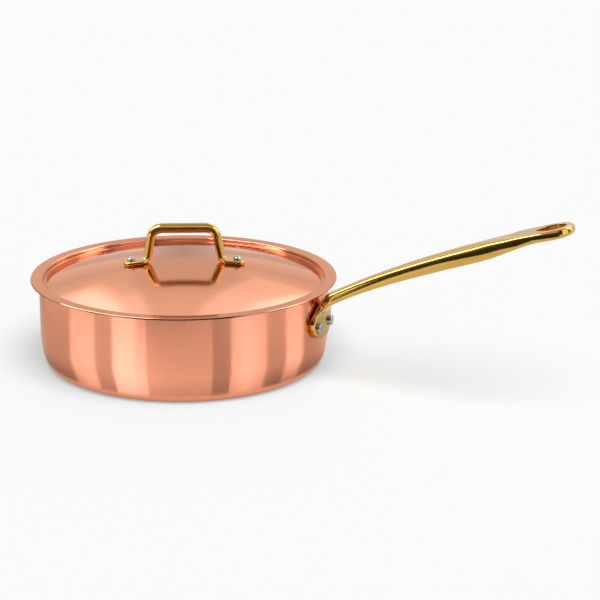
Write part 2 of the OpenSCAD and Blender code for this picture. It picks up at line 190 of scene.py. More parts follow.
# %% Finish of the sheets
# Every sheet has this one finish; its brightness is stored at its corners and blends across it. The
# fourth value says how much of it is seen at any angle. Where that is 0, a sheet shows its own light
# only to level rays, and looks like plain floor from above, so the long handle over it stays plain.
PLAIN_LIGHT, STEEP, LEVEL = 0.95, 0.42, 0.54

sheet_finish, sheet_tree, sheet_shader = new_material("studio_panel", {
    "Base Color": (0, 0, 0, 1), "Specular IOR Level": 0.0, "Emission Strength": 1.0})
stored = add(sheet_tree, "ShaderNodeAttribute", attribute_name="light")
tilt = add(sheet_tree, "ShaderNodeLayerWeight", {"Blend": 0.5})
level = add(sheet_tree, "ShaderNodeMapRange", {"From Min": STEEP, "From Max": LEVEL},
            {"Value": tilt.outputs["Facing"]})
shown = maths(sheet_tree, "MAXIMUM", stored.outputs["Alpha"], level.outputs[0])
seen_light = add(sheet_tree, "ShaderNodeMix", data_type="RGBA", feeds={"Factor": shown})
seen_light.inputs[6].default_value = (PLAIN_LIGHT, PLAIN_LIGHT, PLAIN_LIGHT, 1)
sheet_tree.links.new(stored.outputs["Color"], seen_light.inputs[7])
sheet_tree.links.new(seen_light.outputs[2], sheet_shader.inputs["Emission Color"])
print("finish of the sheets:", sheet_finish.name)

# %% Maker of the sheets
# The brightest sheets are a little cooler than the rest, as a lamp behind cloth is
COOL, COOL_FROM, COOL_TO = (1.0, 1.0, 1.16), 1.2, 1.6


def read_off(profile, at):
    """Value at a place in a list of (place, value), in a straight line between its entries."""
    for (a, one), (b, two) in zip(profile, profile[1:]):
        if at <= b:
            return mix(one, two, progress(at, a, b))
    return profile[-1][1]


def glow_sheet(name, place, light, columns=12, rows=1, kept=lambda along, up: 1.0):
    """A glowing sheet that only reflections see: place and light take shares along and up."""
    shares = [(i / columns, j / rows) for j in range(rows + 1) for i in range(columns + 1)]
    faces = [(a, a + 1, a + columns + 2, a + columns + 1)
             for j in range(rows) for a in range(j * (columns + 1), j * (columns + 1) + columns)]
    made = mesh_object(name, [place(*spot) for spot in shares], faces, False)
    layer = made.data.color_attributes.new(name="light", type="FLOAT_COLOR", domain="POINT")
    for value, spot in zip(layer.data, shares):
        strength = light(*spot)
        cool = progress(strength, COOL_FROM, COOL_TO)
        value.color = (*[strength * mix(1.0, c, cool) for c in COOL], kept(*spot))
    made.data.materials.append(sheet_finish)
    made.visible_camera = made.visible_diffuse = made.visible_shadow = made.visible_transmission = False
    return made


# %% [markdown]
# ## Bands on the wall
# The wall is a curved mirror. To give it an upright band between two bearings, the sheet that makes
# the band is laid out along the very rays that the wall throws back there: first over the floor
# from the foot of the pan, then up at the edge of the studio. Its edges then stay straight and
# upright on the metal, which a box placed by eye would not give.

# %% Brightness of the bands
# From and to are bearings on the wall in degrees, counted from the camera to the right. Then come
# the brightness at both ends and the brightness of the far sheet, with its height in degrees.
BANDS = {
    "side_left": (-87, -48.9, 0.63, 0.66, 0.75, 9),
    "box_left": (-48.9, -36.0, 1.38, 1.55, 1.4, 55),
    "gap_left": (-36.0, -28.0, 0.83, 0.83, 0.4, 55),
    "box_front_left": (-28.0, -19.5, 2.05, 2.2, 2.3, 55),
    "box_front_left_edge": (-19.5, -14.6, 2.0, 1.85, 1.9, 55),
    "front": (-14.6, -2, 1.22, 1.07, 0.1, 85),
    "front_right": (-2, 10.0, 1.07, 1.04, 0.1, 85),
    "gap_front": (10.0, 17.0, 0.58, 0.6, 0.05, 85),
    "box_front_right": (17.0, 24, 1.3, 1.72, 1.5, 55),
    "box_front_right_edge": (24, 31.9, 1.65, 1.25, 1.4, 55),
    "gap_right": (31.9, 41.4, 0.69, 0.66, 0.3, 55),
    "box_right": (41.4, 51.4, 1.42, 1.42, 1.5, 55),
    "side_right": (51.4, 87, 0.56, 0.88, 0.72, 9),
}
# Higher up, between these two heights and above, a far sheet shows only in the lid's step
HIGH_FROM, HIGH_TO = 16, 22
FAR_HIGH = {"box_left": 1.0, "box_front_left": 0.5, "box_front_left_edge": 0.5, "gap_right": 0.6,
            "box_right": 5.0}
# The pan darkens the floor at its own foot: share of the light that is left there, by bearing
FOOT_LIGHT = [(-60, 0.2), (-50, 0.25), (-42, 0.6), (25, 0.55), (32, 0.5), (37, 0.12), (60, 0.12)]
FOOT_DARK, FOOT_CLEAR = 0.001, 0.06
print("bands:", len(BANDS))

# %% Sheets for the wall's bands
PAN_R = 0.122
STUDIO_REACH, SHEET_START, SHEET_END, SHEET_LIFT = 3.2, 0.002, 0.235, 0.0006
KEPT_TO, KEPT_END = 0.03, 0.05
NEAR_ROWS, FAR_ROWS = 16, 24
towards_camera = atan2(CAMERA_PLACE.y, CAMERA_PLACE.x)


def thrown(bearing, reach):
    """Point at this reach along the level ray that the wall throws back at a bearing in degrees."""
    turn = towards_camera + radians(bearing)
    face = Vector((cos(turn), sin(turn)))
    seen_from = (face * PAN_R - CAMERA_PLACE.xy).normalized()
    return face * PAN_R + (seen_from - 2 * seen_from.dot(face) * face) * reach


def sheet_reach(out):
    return mix(SHEET_START, SHEET_END, out * out)


def foot_share(bearing, out):
    """Share of its light that a near sheet has at this bearing and distance."""
    return mix(read_off(FOOT_LIGHT, bearing), 1.0, sqrt(progress(sheet_reach(out), FOOT_DARK, FOOT_CLEAR)))


for name, (start, end, light_start, light_end, far_light, height) in BANDS.items():
    def near_place(along, out):
        spot = thrown(mix(start, end, along), sheet_reach(out))
        return spot.x, spot.y, SHEET_LIFT

    def near_light(along, out):
        return mix(light_start, light_end, along) * foot_share(mix(start, end, along), out)

    def near_kept(along, out):
        return progress(sheet_reach(out), KEPT_END, KEPT_TO)

    def far_place(along, up):
        rise = radians(height * up)
        spot = thrown(mix(start, end, along), STUDIO_REACH * cos(rise))
        return spot.x, spot.y, STUDIO_REACH * sin(rise)

    def far_shown(along, up):
        return mix(far_light, FAR_HIGH.get(name, far_light), progress(height * up, HIGH_FROM, HIGH_TO))

    glow_sheet(name + "_near", near_place, near_light, rows=NEAR_ROWS, kept=near_kept)
    glow_sheet(name + "_far", far_place, far_shown, rows=FAR_ROWS)
print("sheets for the wall:", len(BANDS) * 2)

# %% [markdown]
# ## Backdrop and roof
# The lid looks up and back, so its dome and its flat flange show what stands behind the table and
# over it. One even backdrop would leave the dome flat. The fans of light and the duller middle that
# the picture shows on the copper come from tall strips of different brightness, side by side.

# %% Sheets for the lid
# Each sheet has its bearings from and to, counted around the table from the camera, how far each
# side leans over from the lowest to the highest row, and a list of (height in degrees, brightness).
BACKDROPS = {
    "behind_low": (150, 210, 0, 0, [(-20, 0.5), (0, 0.52), (8, 0.6), (14, 0.8), (24, 0.86)]),
    "behind": (170, 188, 8, 0, [(24, 0.88), (30, 0.9), (45, 1.17), (50, 1.19)]),
    "fan_right": (161, 170, 8, 8, [(24, 1.3), (33, 1.35), (38, 1.5), (50, 1.6)]),
    "fan_right_side": (130, 161, 8, 8, [(24, 1.8), (30, 2.4), (34, 2.6), (50, 2.2)]),
    "fan_left_side": (188, 192, 0, 0, [(24, 1.0), (33, 1.15), (38, 1.45), (50, 1.6)]),
    "fan_left": (192, 193.5, 0, 0, [(24, 1.2), (30, 1.35), (33, 1.6), (38, 1.7), (50, 1.7)]),
    "fan_left_end": (193.5, 200, 0, 0, [(24, 1.1), (30, 2.2), (50, 2.7)]),
    "left_low": (210, 240, 0, 0, [(-20, 0.5), (0, 0.6), (24, 0.7)]),
    "left_high": (200, 240, 0, 0, [(24, 0.75), (50, 0.75), (62, 0.75)]),
}
LID_EYE_Z = 0.09
# The lowest sheet is duller in its middle. By height: half the width of that middle, and the
# brightness beside it, which is reached MIDDLE_BLEND degrees farther out.
MIDDLE_HALF = [(-20, 1.5), (8, 1.5), (16, 5.5), (24, 6)]
BESIDE_LIGHT = [(-20, 0.8), (0, 0.98), (8, 1.0), (14, 0.93), (18, 0.87), (21, 1.0), (24, 1.06)]
MIDDLE_BLEND = 2

for name, (start, end, lean_start, lean_end, profile) in BACKDROPS.items():
    low, high = profile[0][0], profile[-1][0]

    def backdrop_place(along, up):
        turn = towards_camera + radians(mix(start, end, along) + mix(lean_start, lean_end, along) * up)
        rise = radians(mix(low, high, up))
        reach = min(STUDIO_REACH, (LID_EYE_Z - SHEET_LIFT) / max(1e-6, -sin(rise)))
        return reach * cos(rise) * cos(turn), reach * cos(rise) * sin(turn), LID_EYE_Z + reach * sin(rise)

    def backdrop_light(along, up):
        at = mix(low, high, up)
        off_middle = abs(mix(start, end, along) - 180) - read_off(MIDDLE_HALF, at)
        beside = progress(off_middle, 0, MIDDLE_BLEND) if name == "behind_low" else 0.0
        return mix(read_off(profile, at), read_off(BESIDE_LIGHT, at), beside)

    glow_sheet(name, backdrop_place, backdrop_light, columns=30, rows=24)
print("sheets for the lid:", len(BACKDROPS))

# %% [markdown]
# ## Hood over the long handle
# Polished brass gets its dark core from a black card in front, and its sharp line of light from a
# narrow lamp overhead. Two separate sheets would leave a gap between them that the brass would show
# as a third line. So one bent sheet holds both, and runs from the floor in front, over the top and
# down behind the handle.

# %% Hood
# Angles run over the handle from the front, each with the brightness there; the lamp is at 67 to 74
HOOD = [(-14, 0.03), (4, 0.06), (10, 0.1), (20, 0.16), (30, 0.28), (42, 0.52), (54, 0.95), (61, 2.4),
        (67, 12.0), (74, 12.0), (80, 1.6), (85, 0.62), (116, 0.62)]
HOOD_FRONT, HOOD_FOOT, HOOD_Z = 0.40, 0.36, 0.10
# The hood's left end by angle, and its right end, which draws in between two angles
HOOD_LEFT = [(-14, -0.04), (-4, -0.05), (12, -0.16), (22, -0.6), (30, -0.9), (116, -1.2)]
HOOD_TO, HOOD_RIGHT, RIGHT_FROM, RIGHT_TO = 0.66, 0.45, 12, 36
# The grip sees more of the lamp's right end than the steep neck does, and by x the lamp stands these
# degrees farther forward there. Past LAMP_END it is held to a plain light.
LAMP_SHIFT, SHIFT_FROM = [(-0.44, 0.0), (-0.25, 4.5), (0.0, 4.5)], 50
LAMP_END, LAMP_FROM, LAMP_PLAIN = -0.05, 56, 0.5


def hood_angle(over):
    return mix(HOOD[0][0], HOOD[-1][0], over)


def hood_place(along, over):
    angle = hood_angle(over)
    reach = HOOD_FRONT / max(cos(radians(45)), cos(radians(angle)))
    right = mix(HOOD_TO, HOOD_RIGHT, progress(angle, RIGHT_FROM, RIGHT_TO))
    x = mix(read_off(HOOD_LEFT, angle), right, along)
    return x, -reach * cos(radians(angle)), HOOD_Z + reach * sin(radians(angle))


def hood_light(along, over):
    """The lamp overhead stops left of the pan's middle, so that the lid's front edge stays dark."""
    angle, x = hood_angle(over), hood_place(along, over)[0]
    shown = read_off(HOOD, angle + (read_off(LAMP_SHIFT, x) if angle > SHIFT_FROM else 0.0))
    return min(LAMP_PLAIN, shown) if angle > LAMP_FROM and x > LAMP_END else shown


def hood_foot_place(along, out):
    return mix(HOOD_LEFT[0][1], HOOD_TO, along), -mix(HOOD_FOOT, HOOD_FRONT, out), SHEET_LIFT


glow_sheet("hood_foot", hood_foot_place, lambda along, out: HOOD[0][1])
glow_sheet("hood", hood_place, hood_light, columns=48, rows=130)
print("hood: brightest", max(value for _, value in HOOD), "darkest", min(value for _, value in HOOD))

# %% [markdown]
# ## Turned lines
# The copper was finished on a lathe: a pad held against the turning sheet left fine lines that run
# around the axis. They are far too fine to model. They could be painted as straight stripes, but on
# a round piece the stripes would have to bend. So the noise is read in turned coordinates: two of
# them give the direction from the axis and change slowly, the third runs across the lines and
# changes fast. Because a direction has no start and no end, the lines close without a seam.

# %% Group for turned lines
def socket(tree, name, way, kind="NodeSocketFloat", value=None):
    made = tree.interface.new_socket(name=name, in_out=way, socket_type=kind)
    if value is not None:
        made.default_value = value
    return made


def pattern_group(name, sizes, outputs):
    """A shader group that reads a point and these sizes: its tree and its input node."""
    tree = bpy.data.node_groups.new(name, "ShaderNodeTree")
    socket(tree, "Point", "INPUT", "NodeSocketVector")
    for key, value in sizes.items():
        socket(tree, key, "INPUT", value=value)
    for key in outputs:
        socket(tree, key, "OUTPUT")
    return tree, add(tree, "NodeGroupInput")


NEAR_AXIS = 0.0005


def turned_lines_group():
    """Puts out fine and broad lines, all of them around the Z axis."""
    sizes = {"Spacing": 0.0004, "Broad Spacing": 0.003, "Streaks": 7.0}
    tree, start = pattern_group("turned_lines", sizes, ("Fine", "Broad"))
    parts = add(tree, "ShaderNodeSeparateXYZ", feeds={0: start.outputs["Point"]})
    x, y, z = parts.outputs
    squares = maths(tree, "ADD", maths(tree, "MULTIPLY", x, x), maths(tree, "MULTIPLY", y, y))
    reach = maths(tree, "MAXIMUM", maths(tree, "SQRT", squares), NEAR_AXIS)
    along = maths(tree, "ADD", reach, z)
    made = []
    for gap, streak, detail in (("Spacing", 1.0, 2.0), ("Broad Spacing", 0.45, 3.0)):
        length = maths(tree, "MULTIPLY", start.outputs["Streaks"], streak)
        place = add(tree, "ShaderNodeCombineXYZ", feeds={
            0: maths(tree, "MULTIPLY", maths(tree, "DIVIDE", x, reach), length),
            1: maths(tree, "MULTIPLY", maths(tree, "DIVIDE", y, reach), length),
            2: maths(tree, "DIVIDE", along, start.outputs[gap])})
        noise = add(tree, "ShaderNodeTexNoise", {"Scale": 1.0, "Detail": detail, "Roughness": 0.6},
                    {"Vector": place.outputs[0]})
        made.append(noise.outputs[0])
    add(tree, "NodeGroupOutput", feeds={"Fine": made[0], "Broad": made[1]})
    return tree


turned_lines = turned_lines_group()
print("group:", turned_lines.name)

# %% [markdown]
# ## Hand polish
# Buffing by hand leaves soft clouds, where the wheel stayed a little longer, and very shallow
# waves in a cast surface. Both are slow noises in all three directions, so one group serves the
# copper, the brass and the rivets, each with its own size.

# %% Group for hand polish
def hand_polish_group():
    """Puts out slow clouds and a finer mottle."""
    sizes = {"Cloud Size": 0.02, "Mottle Size": 0.002}
    tree, start = pattern_group("hand_polish", sizes, ("Clouds", "Mottle"))
    made = []
    for size, detail in (("Cloud Size", 2.0), ("Mottle Size", 4.0)):
        scale = maths(tree, "DIVIDE", 1.0, start.outputs[size])
        noise = add(tree, "ShaderNodeTexNoise", {"Detail": detail, "Roughness": 0.55},
                    {"Vector": start.outputs["Point"], "Scale": scale})
        made.append(noise.outputs[0])
    add(tree, "NodeGroupOutput", feeds={"Clouds": made[0], "Mottle": made[1]})
    return tree


hand_polish = hand_polish_group()
print("group:", hand_polish.name)

# %% [markdown]
# ## Copper, steel and brass
# Each finish is a metal shader with three touches: a colour that drifts a little, a roughness that
# follows the lines or the clouds, and a bump. On turned metal the light is drawn out across the
# lines, so the shader's anisotropy needs to know which way the lines run. That direction is the
# surface's own normal crossed with the way around the axis, which holds on the wall, the dome and
# the flange alike.

# %% Shared parts of a finish
def around_z(tree, point):
    """Direction across the turned lines, for the shader's tangent."""
    parts = add(tree, "ShaderNodeSeparateXYZ", feeds={0: point})
    around = add(tree, "ShaderNodeCombineXYZ",
                 feeds={0: maths(tree, "MULTIPLY", parts.outputs[1], -1.0), 1: parts.outputs[0]})
    across = add(tree, "ShaderNodeVectorMath", operation="CROSS_PRODUCT",
                 feeds={0: add(tree, "ShaderNodeNewGeometry").outputs["Normal"], 1: around.outputs[0]})
    even = add(tree, "ShaderNodeVectorMath", operation="NORMALIZE", feeds={0: across.outputs[0]})
    return even.outputs[0]


def spread(tree, value, low, high):
    """Maps the middle of a noise to a range."""
    ends = {"From Min": 0.25, "From Max": 0.75, "To Min": low, "To Max": high}
    return add(tree, "ShaderNodeMapRange", ends, {"Value": value}).outputs[0]


def drift(tree, value, one, two):
    """Colour between one and two."""
    ends = {6: (*one, 1), 7: (*two, 1)}
    return add(tree, "ShaderNodeMix", ends, {"Factor": value}, data_type="RGBA").outputs[2]


def weighed(tree, *parts):
    """Sum of the parts, each a pair of a socket and its share."""
    value, share = parts[0]
    first = maths(tree, "MULTIPLY", value, share)
    return maths(tree, "ADD", first, weighed(tree, *parts[1:])) if parts[1:] else first


def bare_metal(name, edge_tint):
    """A metal without marks: material, tree, shader and the point in object coordinates."""
    made, tree, shader = new_material(name, {"Metallic": 1.0, "Specular Tint": (*edge_tint, 1)})
    return made, tree, shader, add(tree, "ShaderNodeTexCoord").outputs["Object"]


def mark(tree, shader, colours, roughness, depth, tone, grain, height):
    """Tone moves the colour from dark to pale, grain the roughness, and height is the bump's."""
    middle, either_way = roughness
    bump = add(tree, "ShaderNodeBump", {"Strength": 1.0, "Distance": depth}, {"Height": height})
    for key, value in (("Base Color", drift(tree, spread(tree, tone, 0, 1), *colours)),
                       ("Roughness", spread(tree, grain, middle - either_way, middle + either_way)),
                       ("Normal", bump.outputs[0])):
        tree.links.new(value, shader.inputs[key])


# %% Turned metals
# Colours are (dark, pale), roughness is (middle, most to either side), depth and spacing in metres
def turned_metal(name, colours, roughness, depth, stretch, spacing, edge_tint):
    """Copper or steel finished on the lathe."""
    made, tree, shader, point = bare_metal(name, edge_tint)
    lines = add(tree, "ShaderNodeGroup", {"Spacing": spacing, "Broad Spacing": spacing * 9},
                {"Point": point}, node_tree=turned_lines).outputs
    clouds = add(tree, "ShaderNodeGroup", {"Cloud Size": 0.06, "Mottle Size": 0.004},
                 {"Point": point}, node_tree=hand_polish).outputs["Clouds"]
    tone = weighed(tree, (lines["Fine"], 0.35), (lines["Broad"], 0.4), (clouds, 0.25))
    grain = weighed(tree, (lines["Broad"], 0.5), (clouds, 0.5))
    mark(tree, shader, colours, roughness, depth, tone, grain, lines["Fine"])
    tree.links.new(around_z(tree, point), shader.inputs["Tangent"])
    shader.inputs["Anisotropic"].default_value = stretch
    return made


COPPER_EDGE = (1.0, 0.82, 0.72)
wall_copper = turned_metal("wall_copper", ((0.82, 0.31, 0.175), (0.90, 0.36, 0.215)), (0.19, 0.015),
                           depth=0.000006, stretch=1.0, spacing=0.0004, edge_tint=COPPER_EDGE)
# The lid's copper is darker and less red than the wall's: painted shade, for the duller light on its dome
lid_copper = turned_metal("lid_copper", ((0.67, 0.285, 0.16), (0.73, 0.325, 0.19)), (0.10, 0.012),
                          depth=0.0000002, stretch=0.8, spacing=0.0004, edge_tint=COPPER_EDGE)
lining_steel = turned_metal("lining_steel", ((0.50, 0.50, 0.49), (0.62, 0.62, 0.61)), (0.33, 0.04),
                            depth=0.000004, stretch=0.8, spacing=0.0005, edge_tint=(1, 1, 1))
print("turned metals:", wall_copper.name, lid_copper.name, lining_steel.name)

# %% Painted shade on the lid's copper
# Near-black colour painted into the copper as shade, low on the flange's edge
PAINTED_SHADE_COLOUR = (0.02, 0.008, 0.004)


def add_painted_shade(material, attribute):
    """Draws the colour of a finish towards the painted shade colour, by the piece's own attribute."""
    tree = material.node_tree
    colour = tree.nodes["Principled BSDF"].inputs["Base Color"]
    stored = add(tree, "ShaderNodeAttribute", attribute_name=attribute)
    drawn = add(tree, "ShaderNodeMix", {7: (*PAINTED_SHADE_COLOUR, 1)},
                {"Factor": stored.outputs["Fac"], 6: colour.links[0].from_socket}, data_type="RGBA")
    tree.links.new(drawn.outputs[2], colour)


# The lid's copper takes painted shade where its own attribute 'shade' says so
add_painted_shade(lid_copper, "shade")
print("dull where the piece says so:", lid_copper.name)

# %% Polished metals
def polished_metal(name, colours, roughness, depth, cloud):
    """Brass or steel buffed by hand, with clouds of this size."""
    made, tree, shader, point = bare_metal(name, (1.0, 1.0, 1.0))
    polish = add(tree, "ShaderNodeGroup", {"Cloud Size": cloud, "Mottle Size": cloud / 12},
                 {"Point": point}, node_tree=hand_polish).outputs
    grain = weighed(tree, (polish["Mottle"], 0.5), (polish["Clouds"], 0.5))
    mark(tree, shader, colours, roughness, depth, polish["Clouds"], grain, polish["Clouds"])
    return made


BRASS = ((0.61, 0.36, 0.08), (0.66, 0.40, 0.095))
cast_brass = polished_metal("cast_brass", BRASS, (0.09, 0.015), depth=0.00003, cloud=0.022)
rod_brass = polished_metal("rod_brass", BRASS, (0.10, 0.015), depth=0.00001, cloud=0.016)
rivet_steel = polished_metal("rivet_steel", ((0.40, 0.385, 0.37), (0.50, 0.48, 0.46)), (0.20, 0.03),
                             depth=0.00002, cloud=0.004)
print("polished metals:", cast_brass.name, rod_brass.name, rivet_steel.name)

# %% [markdown]
# ## Turned pieces
# The pan's two layers, the lid's two layers and the rivets are all round, so one rule makes them: a
# closed outline in the half plane beside the axis, carried once around it. A Spin in mesh code could
# do that too. A Geometry Nodes tree is better here, because the outline stays a curve that can be
# changed and the number of steps is an input. The tree lays out a flat grid, columns for the angle
# and rows for the outline, and then moves each point to its place.

# %% Tree that turns an outline
def turning_tree():
    tree = bpy.data.node_groups.new("turned_piece", "GeometryNodeTree")
    socket(tree, "Geometry", "OUTPUT", "NodeSocketGeometry")
    for name, kind, value in (("Outline", "Object", None), ("Steps Around", "Int", 256),
                              ("Points Along", "Int", 64), ("Place", "Vector", None),
                              ("Turn", "Vector", None), ("Finish", "Material", None)):
        socket(tree, name, "INPUT", "NodeSocket" + kind, value)
    start = add(tree, "NodeGroupInput")
    outline = add(tree, "GeometryNodeObjectInfo", feeds={"Object": start.outputs["Outline"]})
    columns = maths(tree, "ADD", start.outputs["Steps Around"], 1.0)
    grid = add(tree, "GeometryNodeMeshGrid", {"Size X": 1.0, "Size Y": 1.0},
               {"Vertices X": columns, "Vertices Y": start.outputs["Points Along"]})
    index = add(tree, "GeometryNodeInputIndex").outputs[0]
    # The grid counts its points along Y first, so a point's row is what is left of its index
    row = maths(tree, "MODULO", index, start.outputs["Points Along"])
    column = maths(tree, "FLOOR", maths(tree, "DIVIDE", index, start.outputs["Points Along"]))
    angle = maths(tree, "DIVIDE", maths(tree, "MULTIPLY", column, 2 * pi), start.outputs["Steps Around"])
    spot = add(tree, "GeometryNodeSampleIndex", data_type="FLOAT_VECTOR", domain="POINT",
               feeds={"Geometry": outline.outputs["Geometry"], "Index": row,
                      "Value": add(tree, "GeometryNodeInputPosition").outputs[0]})
    parts = add(tree, "ShaderNodeSeparateXYZ", feeds={0: spot.outputs[0]})
    around = add(tree, "ShaderNodeCombineXYZ", feeds={
        0: maths(tree, "MULTIPLY", parts.outputs[0], maths(tree, "COSINE", angle)),
        1: maths(tree, "MULTIPLY", parts.outputs[0], maths(tree, "SINE", angle)),
        2: parts.outputs[2]})
    turned = add(tree, "GeometryNodeSetPosition",
                 feeds={"Geometry": grid.outputs["Mesh"], "Position": around.outputs[0]})
    closed = add(tree, "GeometryNodeMergeByDistance", {"Distance": 1e-6}, {"Geometry": turned.outputs[0]})
    soft = add(tree, "GeometryNodeSetShadeSmooth", feeds={"Geometry": closed.outputs[0]})
    placed = add(tree, "GeometryNodeTransform",
                 feeds={"Geometry": soft.outputs[0], "Translation": start.outputs["Place"],
                        "Rotation": start.outputs["Turn"]})
    real = add(tree, "GeometryNodeRealizeInstances", feeds={"Geometry": placed.outputs[0]})
    dressed = add(tree, "GeometryNodeSetMaterial",
                  feeds={"Geometry": real.outputs[0], "Material": start.outputs["Finish"]})
    add(tree, "NodeGroupOutput", feeds={"Geometry": dressed.outputs[0]})
    return tree


turning = turning_tree()
print("tree:", turning.name)

# %% Make a piece with the tree
def open_edges(shape):
    return sum(1 for edge in shape.edges if not edge.is_manifold)


def turned_piece(name, outline, material, steps=256, place=(0, 0, 0), turn=(0, 0, 0)):
    """Runs the tree on an outline of (radius, height) points and keeps the result as a plain mesh."""
    guide = mesh_object(name + "_outline", [(max(0.0, r), 0, z) for r, z in outline], [])
    maker = mesh_object(name + "_maker", [(0, 0, 0)], [])
    modifier = maker.modifiers.new("turning", "NODES")
    modifier.node_group = turning
    names = {item.name: item.identifier for item in turning.interface.items_tree if item.in_out == "INPUT"}
    inputs = {"Outline": guide, "Steps Around": steps, "Points Along": len(outline), "Place": place,
              "Turn": turn, "Finish": material}
    for key, value in inputs.items():
        modifier[names[key]] = value
    graph = bpy.context.evaluated_depsgraph_get()
    mesh = bpy.data.meshes.new_from_object(maker.evaluated_get(graph))
    mesh.name = name
    made = linked(name, mesh)
    for helper in (maker, guide):
        bpy.data.objects.remove(helper)
    tidy = bmesh.new()
    tidy.from_mesh(mesh)
    bmesh.ops.recalc_face_normals(tidy, faces=tidy.faces)
    print(name, "faces:", len(tidy.faces), "open edges:", open_edges(tidy))
    tidy.to_mesh(mesh)
    tidy.free()
    return made


# %% [markdown]
# ## Outlines
# A straight stretch of an outline between two soft corners needs points of its own. Without them
# the shading of the corners would spread over the whole wall, because a smooth normal is worked out
# at the points. So every outline is filled: no stretch is longer than a few millimetres, and each
# corner has close points just before and after it.

# %% Helpers for outlines
def arc(centre, radius, start, end, steps):
    """Points of an arc from one angle to another, in degrees."""
    turns = [radians(start + (end - start) * i / steps) for i in range(steps + 1)]
    return [(centre[0] + radius * cos(a), centre[1] + radius * sin(a)) for a in turns]


def dome_radius(half, rise):
    """Radius of a dome that rises by this much over this half width."""
    return (half ** 2 + rise ** 2) / (2 * rise)


def filled(path, longest=0.004, hold=0.0003):
    """The same path with extra points, close to each end of a long stretch and evenly between."""
    made = [path[0]]
    for a, b in zip(path, path[1:]):
        length = sqrt((b[0] - a[0]) ** 2 + (b[1] - a[1]) ** 2)
        if length < 1e-7:
            continue
        if length > hold * 6:
            inner = max(1, round(length / longest))
            shares = [hold / length] + [i / inner for i in range(1, inner)] + [1 - hold / length]
            made += [(mix(a[0], b[0], share), mix(a[1], b[1], share)) for share in shares]
        made.append(b)
    return made


def moved_aside(path, d):
    """The path shifted to the left of its direction by d."""
    made = []
    for i, p in enumerate(path):
        a, b = path[max(i - 1, 0)], path[min(i + 1, len(path) - 1)]
        before = Vector((p[0] - a[0], p[1] - a[1])) if i else Vector((b[0] - p[0], b[1] - p[1]))
        after = Vector((b[0] - p[0], b[1] - p[1])) if i < len(path) - 1 else before
        side, next_side = (Vector((-way.y, way.x)) for way in (before.normalized(), after.normalized()))
        left = (side + next_side).normalized()
        stretch = left.dot(side)
        made.append((max(0.0, p[0] + left.x * d / stretch), p[1] + left.y * d / stretch))
    return made


# %% [markdown]
# ## The pan
# The body starts as a disc of copper with a thin steel sheet bonded to it, drawn over a form until
# the wall stands up. That leaves a small base corner, a long curve above it and then a straight
# wall. The rim is cut square and its two edges are broken with a file.

# %% Outline of the pan
PAN_H, COPPER_T, LINING_T, BOND_GAP = 0.0731, 0.0017, 0.0003, 0.00002
COPPER_ROUND, LINING_ROUND = 0.0003, 0.00008
HEEL_H, HEEL_R, CORNER_R = 0.028, 0.074, 0.0095
WALL_T = COPPER_T + LINING_T
INNER_R = PAN_R - WALL_T
heel_mid = (PAN_R - HEEL_R, HEEL_H)
corner_mid = (heel_mid[0] + sqrt((HEEL_R - CORNER_R) ** 2 - (HEEL_H - CORNER_R) ** 2), CORNER_R)
heel_turn = degrees(asin((HEEL_H - CORNER_R) / (HEEL_R - CORNER_R)))


def pan_side(t):
    """Outside of the pan from the middle of the base to the rim, set in by t."""
    return ([(0, t)] + arc(corner_mid, CORNER_R - t, -90, -heel_turn, 18)
            + arc(heel_mid, HEEL_R - t, -heel_turn, 0, 20) + [(PAN_R - t, PAN_H)])


def sheet_outline(outer, inner, edge):
    """Closed outline of a sheet whose cut edge is broken with two small rounds of radius edge."""
    (xo, zo), (xi, zi) = outer[-1], inner[-1]
    rim = arc((xo - edge, zo - edge), edge, 0, 90, 4) + arc((xi + edge, zi - edge), edge, 90, 180, 4)
    return filled(outer[:-1] + rim) + filled([rim[-1]] + inner[-2::-1])[1:]


def pan_layer(name, start, end, edge, material):
    return turned_piece(name, sheet_outline(pan_side(start), pan_side(end), edge), material)


pan_body = pan_layer("copper_pan", 0, COPPER_T, COPPER_ROUND, wall_copper)
pan_lining = pan_layer("steel_pan_lining", COPPER_T + BOND_GAP, WALL_T, LINING_ROUND, lining_steel)
# The paper's soft light passes the pan, so that no red spills onto it; the lamp's shadow stays
pan_body.visible_diffuse = pan_lining.visible_diffuse = False

# %% [markdown]
# ## The lid
# The lid is spun from thinner sheets of the same two metals. Its flange lies on the rim, a step
# drops just inside the wall so that the lid can't slide off, and a narrow ledge and a groove stiffen
# the sheet before it rises into the low dome. Its outline is followed from the flange's edge to the
# axis, and the lower face is the same line moved down by the sheet's thickness. The flange reaches
# past the wall. Its edge is worn round, and low on it a dark line is painted into the copper's
# colour: painted shade of the gap under the flange, darkest at the front. Each point there stores
# how much of that painted shade it takes, so that the line follows the mesh exactly.

# %% Line of the lid
LID_COPPER_T, LID_LINING_T, LID_CLEAR = 0.0009, 0.0003, 0.0005
FLANGE_OVER, STEP_DEPTH, GROOVE_DEPTH, GROOVE_IN, DOME_RISE = 0.0069, 0.0041, 0.0007, 0.0030, 0.0154
LID_T = LID_COPPER_T + LID_LINING_T
flange_r, flange_z = PAN_R + FLANGE_OVER, PAN_H + LID_T
step_r = INNER_R - LID_CLEAR - LID_T
ledge_z = flange_z - STEP_DEPTH
groove_r, groove_z = step_r - GROOVE_IN, ledge_z - GROOVE_DEPTH
dome_r = dome_radius(groove_r, DOME_RISE)
dome_mid = groove_z + DOME_RISE - dome_r
dome_turn = asin(groove_r / dome_r)
dome_top = groove_z + DOME_RISE
LIP_R, LEDGE_R, FILLET_R = LID_T + LID_CLEAR / 2, LID_T * 0.6, GROOVE_IN * 0.6
BAND_R, BAND_SLOPE, BAND_IN = LID_T * 1.4, 24, LEDGE_R * 2.2
DOME_POINTS = 40
fillet_mid = ((dome_r + FILLET_R) * sin(dome_turn), dome_mid + (dome_r + FILLET_R) * cos(dome_turn))
dome_turns = [dome_turn * (1 - i / DOME_POINTS) for i in range(1, DOME_POINTS + 1)]
